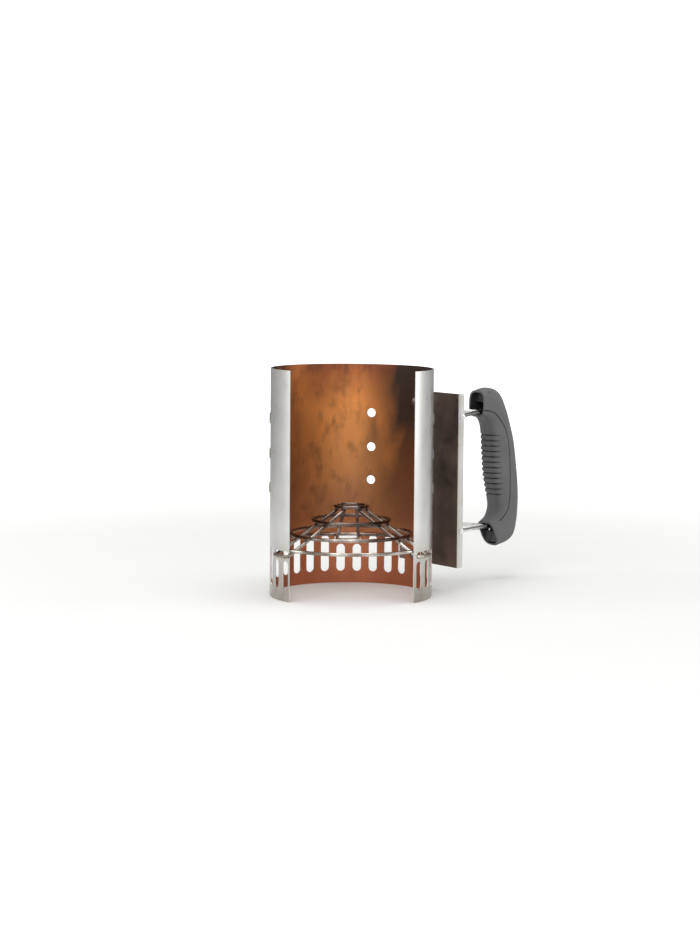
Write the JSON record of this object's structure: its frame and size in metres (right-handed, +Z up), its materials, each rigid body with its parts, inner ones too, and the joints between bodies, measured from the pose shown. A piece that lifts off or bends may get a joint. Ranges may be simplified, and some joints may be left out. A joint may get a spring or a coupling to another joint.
{
  "type": "chimney charcoal starter",
  "caption": "Cutaway sheet-steel chimney for lighting charcoal, with a conical wire grate, slotted skirt, flat heat shield and ribbed plastic grip on wire arms.",
  "frame": {"origin": "on the ground plane, under the middle of the assembly's outline seen from above; the chimney's own axis is at x = -62.8 mm, y = -0.1 mm", "axes": "+Z up along the chimney, +X from the chimney towards the grip, +Y to the left of the handle; the cutaway front faces between -X and -Y"},
  "size_m": [0.2888, 0.1548, 0.217],
  "materials": {
    "shell_steel": "satin aluminised sheet, heat-tinted inside",
    "shield_steel": "satin aluminised sheet, lightly heat-tinted",
    "fastener_steel": "zinc plated",
    "arm_wire": "bright plated wire",
    "grate_wire": "plated wire darkened by heat",
    "grip_plastic": "fine-grained matte dark grey"
  },
  "bodies": {
    "root": {"chimney_body": "shell_steel", "grate_top_ring": "grate_wire", "grate_second_ring": "grate_wire", "grate_third_ring": "grate_wire", "grate_base_ring": "grate_wire", "grate_leg_1": "grate_wire", "grate_leg_2": "grate_wire", "grate_leg_3": "grate_wire", "heat_shield": "shield_steel", "shield_bolt_upper": "fastener_steel", "shield_bolt_lower": "fastener_steel", "shield_spacer_upper": "fastener_steel", "shield_spacer_lower": "fastener_steel", "shield_washer_upper": "fastener_steel", "shield_washer_lower": "fastener_steel", "shield_nut_upper": "fastener_steel", "shield_nut_lower": "fastener_steel", "handle_arm_left": "arm_wire", "handle_arm_right": "arm_wire", "grip_half_left": "grip_plastic", "grip_half_right": "grip_plastic", "grip_screw_upper": "fastener_steel", "grip_screw_middle": "fastener_steel", "grip_screw_lower": "fastener_steel"}
  },
  "joints": []
}
